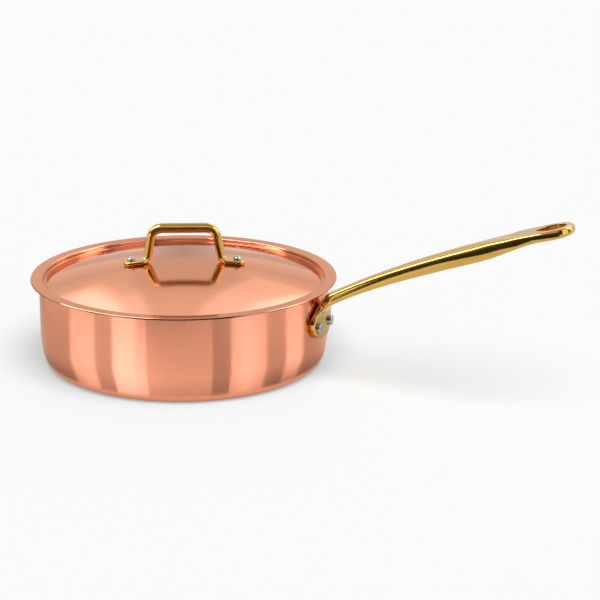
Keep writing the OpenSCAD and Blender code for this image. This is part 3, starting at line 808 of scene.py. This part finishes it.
step_line = (arc((step_r + LIP_R, flange_z - LIP_R), LIP_R, 90, 180, 10)
             + arc((step_r - LEDGE_R, ledge_z + LEDGE_R), LEDGE_R, 0, -90, 8)
             + arc((step_r - BAND_IN, ledge_z - BAND_R), BAND_R, 90, 90 + BAND_SLOPE, 6)
             + arc(fillet_mid, FILLET_R, -90 + BAND_SLOPE, -90 - degrees(dome_turn), 10)
             + [(dome_r * sin(a), dome_mid + dome_r * cos(a)) for a in dome_turns])
lid_line = filled([(flange_r, flange_z)] + step_line, 0.003, 0.00015)
print("dome:", round(dome_top * 1000, 1), "mm high at the middle")

# %% Worn edge of the flange
EDGE_R, EDGE_CORNER, EDGE_LOW, EDGE_HIGH, EDGE_GAP = 0.00168, 0.00025, 10, 50, 0.0001
corner_out = (EDGE_R - EDGE_CORNER) * cos(radians(EDGE_HIGH))
corner_up = (EDGE_R - EDGE_CORNER) * sin(radians(EDGE_HIGH))
edge_corner_mid = (flange_r - EDGE_R + corner_out, flange_z - EDGE_CORNER)
edge_mid = (flange_r - EDGE_R, edge_corner_mid[1] - corner_up)
worn_edge = ([(flange_r - EDGE_GAP, flange_z - LID_T)] + arc(edge_mid, EDGE_R, EDGE_LOW, EDGE_HIGH, 10)
             + arc(edge_corner_mid, EDGE_CORNER, EDGE_HIGH, 90, 5)[1:])
lining_end = edge_corner_mid[0] - EDGE_GAP
print("flange edge:", round((flange_r - edge_corner_mid[0]) * 1000, 2), "mm wide")

# %% Copper and lining of the lid
LINING_GAP = 0.00005
lid_top = [p for p in lid_line if p[0] < lining_end]
lid_seam, lid_under = moved_aside(lid_line, LID_COPPER_T), moved_aside(lid_line, LID_T)
seam_in = [p for p in lid_seam if p[0] < lining_end - EDGE_GAP]
under_in = [p for p in lid_under if p[0] < lining_end - EDGE_GAP]
# The copper is turned down over the lining's edge, so that no raw edge of steel shows
copper_foot = [(lining_end, flange_z - LID_COPPER_T), (lining_end, flange_z - LID_T)]
lining_foot = [(r - LINING_GAP, z) for r, z in copper_foot[::-1]]
lid_body = turned_piece("copper_lid", seam_in[::-1] + copper_foot + worn_edge + lid_top, lid_copper)
lid_lining = turned_piece("steel_lid_lining", under_in[::-1] + lining_foot + seam_in, lining_steel)

# %% Painted shade line low on the flange's edge
# How far below the flange's face the painted shade starts and is full, how dark it is all round and
# in front, and the bearings of that front
SHADE_FROM, SHADE_TO, SHADE_ROUND, SHADE_FRONT, SHADE_IN = 0.0002, 0.00036, 0.3, 0.98, 0.001
FRONT_AT, FRONT_FROM, FRONT_TO = radians(1.5), radians(24), radians(14)


def painted_shade_at(spot):
    """How much painted shade the copper takes at a point of the lid."""
    if spot.xy.length <= flange_r - SHADE_IN:
        return 0.0
    turn = (atan2(spot.y, spot.x) - towards_camera + pi) % (2 * pi) - pi
    front = ease(progress(abs(turn - FRONT_AT), FRONT_FROM, FRONT_TO))
    return mix(SHADE_ROUND, SHADE_FRONT, front) * ease(progress(flange_z - spot.z, SHADE_FROM, SHADE_TO))


# Each point of the lid stores its painted shade, darkest low on the front of the flange
shade = lid_body.data.attributes.new(name="shade", type="FLOAT", domain="POINT")
for value, vert in zip(shade.data, lid_body.data.vertices):
    value.value = painted_shade_at(vert.co)
# Points that take painted shade
print("dull points:", sum(1 for value in shade.data if value.value > 0.01))

# %% [markdown]
# ## Rivets
# The four rivets are turned pieces as well, on axes of their own. The two in the wall have tall
# heads with a softened edge and low domes inside the pan. The two on the lid have domed heads and a
# flat head below. The same tree makes them: the outline goes in around the Z axis and the tree's
# place and turn inputs carry the finished rivet to its hole.

# %% Rivets of the long handle
PLATE_T, PLATE_H, PLATE_Z = 0.005, 0.028, 0.047
RIVET_GAP, RIVET_D, HEAD_D, HEAD_H, HEAD_ROUND = 0.0242, 0.0052, 0.0088, 0.003, 0.0009
INNER_HEAD_D, INNER_HEAD_H, SEAT_SINK = 0.011, 0.0016, 0.0003
SEAT_R = PAN_R + PLATE_T - SEAT_SINK
rivet_turn = asin(RIVET_GAP / 2 / PAN_R)
rivet_z = PLATE_Z - PLATE_H * 0.08
inner_back = sqrt(INNER_R ** 2 - (INNER_HEAD_D / 2) ** 2)
inner_dome_r = dome_radius(INNER_HEAD_D / 2, INNER_HEAD_H)
wall_rivet = filled(
    arc((0, inner_back - INNER_HEAD_H + inner_dome_r), inner_dome_r, -90,
        degrees(asin(INNER_HEAD_D / 2 / inner_dome_r)) - 90, 12)
    + [(RIVET_D / 2, inner_back), (RIVET_D / 2, SEAT_R), (HEAD_D / 2, SEAT_R)]
    + arc((HEAD_D / 2 - HEAD_ROUND, SEAT_R + HEAD_H - HEAD_ROUND), HEAD_ROUND, 0, 90, 8)
    + [(0, SEAT_R + HEAD_H)], 0.001, 0.0001)
wall_rivets = {}
for side, node in ((1, "pan_rivet_left"), (-1, "pan_rivet_right")):
    wall_rivets[node] = turned_piece("steel_" + node, wall_rivet, rivet_steel, 64, (0, 0, rivet_z),
                                     (0, pi / 2, side * rivet_turn))

# %% Rivets of the lid
LID_TURN, LID_RIVET_SPAN, FOOT_T = radians(25), 0.0892, 0.0033
LID_RIVET_D, LID_HEAD_D, LID_HEAD_H, LID_UNDER_H = 0.0032, 0.0068, 0.0035, 0.001
lid_rivet_tilt = asin(LID_RIVET_SPAN / 2 / (dome_r + FOOT_T))
head_side = LID_HEAD_H * 0.35
crown = LID_HEAD_H - head_side
crown_r = dome_radius(LID_HEAD_D / 2, crown)
lid_rivet = filled(
    [(0, -LID_T - LID_UNDER_H), (LID_HEAD_D / 2, -LID_T - LID_UNDER_H), (LID_HEAD_D / 2, -LID_T),
     (LID_RIVET_D / 2, -LID_T), (LID_RIVET_D / 2, FOOT_T), (LID_HEAD_D / 2, FOOT_T)]
    + arc((0, FOOT_T + head_side + crown - crown_r), crown_r,
          90 - degrees(asin(LID_HEAD_D / 2 / crown_r)), 90, 14), 0.001, 0.0001)
lid_rivets = {}
for side, node in ((1, "lid_rivet_left"), (-1, "lid_rivet_right")):
    tilt = side * lid_rivet_tilt
    out = dome_r * sin(tilt)
    hole = (out * cos(LID_TURN), out * sin(LID_TURN), dome_mid + dome_r * cos(tilt))
    lid_rivets[node] = turned_piece("steel_" + node, lid_rivet, rivet_steel, 48, hole, (0, tilt, LID_TURN))

# %% [markdown]
# ## Sections and rows of rings
# Both brass pieces are bars whose section changes along a line: flat plate to round neck, round rod
# to flat foot. A curve with a bevel could not change its section like that. So rings of points are
# stood across the line, one after the other, and joined with faces. A section is counted from its
# +across side upward, with a corner radius above and one below.

# %% Helpers for sections
def edge_drop(radius, d):
    """Loss of depth at distance d from an edge rounded with this radius."""
    return radius - sqrt(max(0.0, radius ** 2 - (radius - d) ** 2)) if d < radius else 0.0


def half_section(w, up, down, r_up, r_down, arch_r=100.0, corner=5):
    """Right half of a section, from the middle of its lower face to the middle of its upper face.

    The upper face is a low arch of radius arch_r between the corners, flat unless it is given."""
    q = w - r_up
    turn = asin(q / (arch_r - r_up))
    corner_z = up - arch_r + (arch_r - r_up) * cos(turn)
    r_low = min(r_down, corner_z + down)
    s = w - r_low
    lower = arc((s, r_low - down), r_low, -90, 0, corner)
    upper = arc((q, corner_z), r_up, 0, 90 - degrees(turn), corner)
    middle = [(arch_r * sin(turn / 2), up - arch_r + arch_r * cos(turn / 2)), (0.0, up)]
    return [(0.0, -down), (s / 2, -down)] + lower + upper + middle


def stood(points, place, slope):
    """Section points set across a line in the XZ plane, at a place (x, z) with a slope in radians."""
    x, z = place
    return [Vector((x - up * sin(slope), across, z + up * cos(slope))) for across, up in points]


# %% Helpers for rows of rings
def strip(shape, first, second, closed=False):
    """Faces between two rows of points that have the same number of points."""
    n = len(first)
    for i in range(n if closed else n - 1):
        j = (i + 1) % n
        corners = [first[i], first[j], second[j], second[i]]
        if len(set(corners)) == 4:
            shape.faces.new(corners)


def joined(shape, rings, closed=False):
    """Adds the rings to the shape with faces between them, and gives back their points."""
    rows = [[shape.verts.new(p) for p in ring] for ring in rings]
    for first, second in zip(rows, rows[1:]):
        strip(shape, first, second, closed)
    return rows


def rounded_piece(name, shape, merge, material, levels):
    """The finished shape as an object, doubles merged and rounded by a subdivision surface."""
    bmesh.ops.remove_doubles(shape, verts=shape.verts, dist=merge)
    bmesh.ops.recalc_face_normals(shape, faces=shape.faces)
    print(name, "open edges:", open_edges(shape))
    mesh = bpy.data.meshes.new(name)
    shape.to_mesh(mesh)
    shape.free()
    mesh.shade_smooth()
    mesh.materials.append(material)
    made = linked(name, mesh)
    rounding = made.modifiers.new("rounding", "SUBSURF")
    rounding.levels = rounding.render_levels = levels
    return made


# %% [markdown]
# ## Long handle
# This is one casting: an oval plate that hugs the wall, a neck that bends out from it, a grip that
# swells on its underside and a flat loop with a teardrop eye to hang it by. Cutting the eye with a
# Boolean would leave ragged shading around the hole, which polished brass shows at once. So the
# rings split into two arms at the eye's point and run round the loop, the inner wall of the eye
# included, and one half is mirrored onto the other. A subdivision surface then rounds it all.

# %% Line of the long handle
NECK_BEND_R, NECK_SLOPE, TIP_SLOPE, GRIP_LEN = 0.018, radians(29), radians(15), 0.20996
PLATE_W, NECK_W, NECK_T, GRIP_W, GRIP_T = 0.041, 0.0130, 0.0097, 0.0222, 0.0146
LOOP_W, LOOP_T, EYE_W, EYE_LEN = 0.033, 0.0074, 0.0208, 0.025
plate_half, plate_x = PLATE_H / 2, PAN_R + PLATE_T / 2
bend_from = plate_half * 0.36
bend_turn = pi / 2 - NECK_SLOPE
bend_len = NECK_BEND_R * bend_turn
grip_from = bend_from + bend_len
bend_mid = (plate_x + NECK_BEND_R, PLATE_Z + bend_from)
neck_end = (bend_mid[0] - NECK_BEND_R * sin(NECK_SLOPE), bend_mid[1] + NECK_BEND_R * cos(NECK_SLOPE))
grip_arc_r = GRIP_LEN / (NECK_SLOPE - TIP_SLOPE)
grip_mid = (neck_end[0] + grip_arc_r * sin(NECK_SLOPE), neck_end[1] - grip_arc_r * cos(NECK_SLOPE))


def line_slope(q):
    if q < bend_from:
        return pi / 2
    if q < grip_from:
        return pi / 2 - bend_turn * (q - bend_from) / bend_len
    return mix(NECK_SLOPE, TIP_SLOPE, (q - grip_from) / GRIP_LEN)


def line_point(q):
    a = line_slope(q)
    if q < bend_from:
        return plate_x, PLATE_Z + q
    middle, radius = (bend_mid, NECK_BEND_R) if q < grip_from else (grip_mid, grip_arc_r)
    return middle[0] - radius * sin(a), middle[1] + radius * cos(a)


# %% Sections of the grip
LOOP_R, EYE_R = LOOP_W / 2, EYE_W / 2
LOOP_MID = GRIP_LEN - LOOP_R
SWELL, BELLY_END, LOOP_FROM, ARCH_RISE = 0.63, 0.88, 0.66, 0.0006
# By share of the grip's length: the low corners' radius as a share of the depth, how far the sides
# lean out, and the radius of the arch on top, flat from 0.8 on
LOW_CORNER = [(0, 0.27), (0.3, 0.36), (0.5, 0.43), (0.65, 0.4), (0.8, 0.28), (1, 0.4)]
SLANT = [(0, 0.18), (0.25, 0.08), (0.45, 0.02), (0.6, 0.02), (0.77, 0.06), (0.84, 0.0), (1, 0)]
TOP_ARCH = [(0, 0.018), (0.5, 0.028), (0.63, 0.03), (0.76, 0.1), (0.8, 100), (1, 100)]


def swell(u):
    return ease(u / (GRIP_LEN * SWELL))


def fading(u):
    return ease((u / GRIP_LEN - SWELL) / (BELLY_END - SWELL))


def grip_width(u):
    if u < GRIP_LEN * LOOP_FROM:
        return mix(NECK_W, GRIP_W, swell(u))
    return mix(GRIP_W, LOOP_W, ease((u / GRIP_LEN - LOOP_FROM) / (1 - LOOP_FROM - LOOP_R / GRIP_LEN)))


def grip_reach(u):
    """Reach of the section above and below the line, and its two corner radii."""
    depth = mix(NECK_T, GRIP_T, swell(u)) if u < GRIP_LEN * SWELL else mix(GRIP_T, LOOP_T, fading(u))
    up = mix(NECK_T, LOOP_T, u / GRIP_LEN) / 2 + ARCH_RISE * (1 - fading(u))
    return up, depth - up, depth * mix(0.34, 0.3, swell(u)), depth * read_off(LOW_CORNER, u / GRIP_LEN)


def slanted(section, slant):
    """The section with its sides leaning outward towards the belly, by a share of its width."""
    top, low = max(z for _, z in section), min(z for _, z in section)
    return [(across * (1 + slant * (top - z) / (top - low)), z) for across, z in section]


def grip_ring(u):
    up, down, r_up, r_down = grip_reach(u)
    w = grip_width(u) / 2
    section = half_section(w, up, down, min(w, r_up), min(w, r_down), read_off(TOP_ARCH, u / GRIP_LEN))
    q = grip_from + u
    return stood(slanted(section, read_off(SLANT, u / GRIP_LEN)), line_point(q), line_slope(q))


# %% Sections of the plate and the bend
PLATE_ROUND, NECK_ROUND, NECK_LOW = PLATE_T * 0.34, NECK_T * 0.34, NECK_T * 0.27


def plate_ring(q):
    """A section that hugs the wall on the plate and turns into the neck's on its way round the bend."""
    run = ease((q - bend_from / 2) / (grip_from - bend_from / 2))
    oval = PLATE_W / 2 * sqrt(max(0.0, 1 - (q / plate_half) ** 2))
    neck = NECK_W / 2 * ease((q + bend_from) / (bend_from * 3))
    w = sqrt(oval ** 2 + neck ** 2)
    a = line_slope(q)
    half_t, rise = mix(PLATE_T, NECK_T, run) / 2, ARCH_RISE * run
    # In the bend the back goes no farther than the plane of the plate's back
    back = min(half_t + rise, (NECK_BEND_R + PLATE_T / 2) / cos(pi / 2 - a) - NECK_BEND_R)
    front = half_t - rise - edge_drop(PLATE_ROUND, q + plate_half)
    r_up, r_low = mix(PLATE_ROUND, NECK_ROUND, run), mix(PLATE_ROUND, NECK_LOW, run)
    arch_r = min(10, TOP_ARCH[0][1] / max(0.001, run))
    ring = slanted(half_section(w, back, front, min(w, r_up), min(w, r_low), arch_r), SLANT[0][1] * run)
    hugging = [(across, up + (1 - run) * (PAN_R - sqrt(PAN_R ** 2 - across ** 2))) for across, up in ring]
    return stood(hugging, line_point(q), a)


print("neck starts", round(grip_from * 1000, 1), "mm along the line from the middle of the plate")

# %% Arms around the eye
POINT_R, FLARE_R = EYE_R * 0.2, 0.0004
EYE_PITCH = EYE_LEN - EYE_R - POINT_R
EYE_FLARE = asin((EYE_R - POINT_R) / EYE_PITCH)
# Stations round the eye: (middle, radius, direction) of its outline, from its point to the loop's end
SIDE_TURN = pi / 2 + EYE_FLARE
stations = ([(-EYE_PITCH, POINT_R, mix(pi, SIDE_TURN, t / 4)) for t in range(5)]
            + [(-EYE_PITCH * (1 - t / 5), mix(POINT_R, EYE_R, t / 5), SIDE_TURN) for t in range(1, 6)]
            + [(0.0, EYE_R, a) for a in (pi / 2 + EYE_FLARE / 2, pi / 2)]
            + [(0.0, EYE_R, pi / 2 * (1 - t / 8)) for t in range(1, 9)])
CORNER_TURNS = [radians(90 * i / 5) for i in range(6)]
FLARE_TURNS = [radians(90 * i / 4) for i in range(5)]


def halfway(a, b):
    return tuple((p + q) / 2 for p, q in zip(a, b))


def arm_ring(middle, radius, turn):
    """Ring of one arm where the eye's outline has this middle, radius and direction."""
    def eye_at(e):
        return middle + (radius + e) * cos(turn), (radius + e) * sin(turn)

    s_rim = eye_at(FLARE_R)[0]
    if turn >= pi / 2 - 1e-6:
        outer, inward = (s_rim, grip_width(LOOP_MID + s_rim) / 2), (0.0, -1.0)
    else:
        outer, inward = (LOOP_R * cos(turn), LOOP_R * sin(turn)), (-cos(turn), -sin(turn))
    up, down, r_up, r_down = grip_reach(LOOP_MID + outer[0])
    nose = ease((pi / 4 - turn) / (pi / 4)) if turn < pi / 4 else 0.0
    r_up, r_down = mix(r_up, up, nose), mix(r_down, down, nose)

    def side_at(r, a):
        """Where a corner of radius r stands, a turned from the side towards the face."""
        back = r * (1 - cos(a))
        return outer[0] + inward[0] * back, outer[1] + inward[1] * back

    def rim_at(a):
        """The same on the eye's side, whose edge has the radius FLARE_R."""
        return eye_at(FLARE_R * (1 - cos(a)))

    lower = [(*side_at(r_down, a), -down + r_down - r_down * sin(a)) for a in CORNER_TURNS[::-1]]
    upper = [(*side_at(r_up, a), up - r_up + r_up * sin(a)) for a in CORNER_TURNS]
    rim_top = [(*rim_at(a), up - FLARE_R + FLARE_R * sin(a)) for a in FLARE_TURNS[::-1]]
    rim_low = [(*rim_at(a), -down + FLARE_R - FLARE_R * sin(a)) for a in FLARE_TURNS]
    ring = ([rim_low[-1], halfway(rim_low[-1], lower[0])] + lower + upper
            + [halfway(upper[-1], rim_top[0])] + rim_top + rim_low[:-1])
    placed = []
    for along, across, height in ring:
        q = grip_from + LOOP_MID + along
        placed += stood([(across, height)], line_point(q), line_slope(q))
    return placed


arms = [arm_ring(*station) for station in stations]
print("rings of one arm:", len(arms), "with", len(arms[0]), "points each")

# %% Join, mirror and round the long handle
MERGE_LONG = 0.00002
eye_start = LOOP_MID - EYE_PITCH - POINT_R - FLARE_R
rings = ([plate_ring(-plate_half * cos(radians(90 * i / 12))) for i in range(1, 13)]
         + [plate_ring(mix(bend_from / 2, grip_from, i / 14)) for i in range(14)]
         + [grip_ring(mix(0, eye_start, i / 34)) for i in range(35)])
half = bmesh.new()
half.faces.new(joined(half, rings)[0])
joined(half, arms, closed=True)
mirror = half.copy()
for vert in mirror.verts:
    vert.co.y *= -1
other = bpy.data.meshes.new("half")
mirror.to_mesh(other)
mirror.free()
half.from_mesh(other)
long_handle = rounded_piece("brass_long_handle", half, MERGE_LONG, cast_brass, 2)

# %% [markdown]
# ## Lid handle
# A straight brass rod is bent four times and its ends are hammered flat for the rivets. The legs
# come out a little slimmer than the bar. A curve with a bevel could follow the bends, but it could
# not flatten the feet. So it is a row of rings as well. Its two ends are alike, so the rings of one
# half are worked out and mirrored, and the row is then turned to the lid's own angle.

# %% Line of the lid handle
ROD_R, LEG_T, BAR_H, LEG_REACH, LEG_LEAN = 0.0043, 0.0072, 0.0288, 0.0264, radians(10)
UPPER_BEND_R, LOWER_BEND_R, FOOT_W, FOOT_END = 0.0095, 0.0055, 0.0136, 0.0066
bar_z = dome_top + BAR_H
upper_turn = pi / 2 - LEG_LEAN
lower_turn = upper_turn - lid_rivet_tilt
foot_r = dome_r + FOOT_T / 2
foot_at = Vector((foot_r * sin(lid_rivet_tilt), dome_mid + foot_r * cos(lid_rivet_tilt)))
leg_dir = Vector((sin(LEG_LEAN), -cos(LEG_LEAN)))
foot_dir = Vector((cos(lid_rivet_tilt), -sin(lid_rivet_tilt)))
leg_left, foot_left = Vector((-leg_dir.y, leg_dir.x)), Vector((-foot_dir.y, foot_dir.x))
knee_back = (foot_at - Vector((LEG_REACH, bar_z))).dot(leg_left) / foot_dir.dot(leg_left)
knee = foot_at - foot_dir * knee_back
upper_tangent, lower_tangent = UPPER_BEND_R * tan(upper_turn / 2), LOWER_BEND_R * tan(lower_turn / 2)
upper_mid = Vector((LEG_REACH - upper_tangent, bar_z - UPPER_BEND_R))
lower_mid = knee + foot_dir * lower_tangent + LOWER_BEND_R * foot_left
foot_past = knee_back - lower_tangent + FOOT_END
print("lid handle: bar", round(bar_z * 1000, 1), "mm above the floor")

# %% Rings of the lid handle
BEND_STEPS, FOOT_STEPS = 14, 16
FOOT_OUTLINE_R, FOOT_EDGE_R, FOOT_CORNER_R = FOOT_W * 0.36, FOOT_T * 0.3, FOOT_T * 0.45


def rod_section(slim, flat, w, drop=0.0):
    """Round bar, slimmer leg and flat foot."""
    half_w = min(w, mix(ROD_R, FOOT_W / 2, flat))
    half_t = mix(ROD_R, LEG_T / 2, slim)
    reach = mix(half_t, FOOT_T / 2, flat) - drop
    r = min(half_w, reach, mix(half_t, FOOT_CORNER_R, flat))
    right = half_section(half_w, reach, reach, r, r, corner=6)
    return right + [(-x, z) for x, z in right[-2:0:-1]]


def on_dome(ring):
    """Points of a foot that would lie inside the dome, raised onto its face."""
    return [Vector((p.x, p.y, max(p.z, dome_mid + sqrt(dome_r ** 2 - p.x ** 2 - p.y ** 2)))) for p in ring]


half_rod = [stood(rod_section(0, 0, ROD_R), (upper_mid.x * share, bar_z), 0) for share in (0.1, 0.4, 0.7)]
for i in range(BEND_STEPS + 1):
    a = -upper_turn * i / BEND_STEPS
    spot = upper_mid + UPPER_BEND_R * Vector((-sin(a), cos(a)))
    half_rod.append(stood(rod_section(ease(i / BEND_STEPS), 0, ROD_R), spot, a))
for i in range(BEND_STEPS + 1):
    a = -upper_turn + lower_turn * i / BEND_STEPS
    spot = lower_mid + LOWER_BEND_R * Vector((sin(a), -cos(a)))
    half_rod.append(on_dome(stood(rod_section(1, ease(i / BEND_STEPS), FOOT_W), spot, a)))
for i in range(1, FOOT_STEPS + 1):
    # Not quite a quarter turn, so that the last ring keeps a little width
    d = foot_past * sin(radians(89 * i / FOOT_STEPS))
    w = FOOT_W / 2 - edge_drop(FOOT_OUTLINE_R, foot_past - d)
    section = rod_section(1, 1, w, edge_drop(FOOT_EDGE_R, foot_past - d))
    half_rod.append(on_dome(stood(section, knee + foot_dir * (lower_tangent + d), -lid_rivet_tilt)))
print("rings of half the lid handle:", len(half_rod))

# %% Join and round the lid handle
MERGE_LID = 0.000001
bar = bmesh.new()
mirrored = [[Vector((-p.x, p.y, p.z)) for p in ring] for ring in reversed(half_rod)]
bar_rows = joined(bar, mirrored + half_rod, closed=True)
for end in (bar_rows[0], bar_rows[-1]):
    bar.faces.new(end)
bmesh.ops.rotate(bar, verts=bar.verts, cent=(0, 0, 0), matrix=Matrix.Rotation(LID_TURN, 3, "Z"))
lid_handle = rounded_piece("brass_lid_handle", bar, MERGE_LID, rod_brass, 1)

# %% [markdown]
# ## Pieces on the pan and the lid
# Each visible piece rides on the pan or on the lid, and the solid it stands for is hidden, so that
# lifting the lid moves all five of its pieces together. Each row also gives the record's finish,
# which is not used here.

# %% Tie the pieces to the frame
TIES = [(pan_body, "pan", "pan_shell", "copper"), (pan_lining, "pan", "pan_lining", "lining_steel"),
        (long_handle, "pan", "pan_handle", "brass"),
        (lid_body, "lid", "lid_shell", "lid_copper"), (lid_lining, "lid", "lid_lining", "lining_steel"),
        (lid_handle, "lid", "lid_handle", "rod_brass")]
TIES += [(piece, "pan", node, "rivet_steel") for node, piece in wall_rivets.items()]
TIES += [(piece, "lid", node, "rivet_steel") for node, piece in lid_rivets.items()]
for piece, body, node, finish_slot in TIES:
    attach(piece, body)
    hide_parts(node)
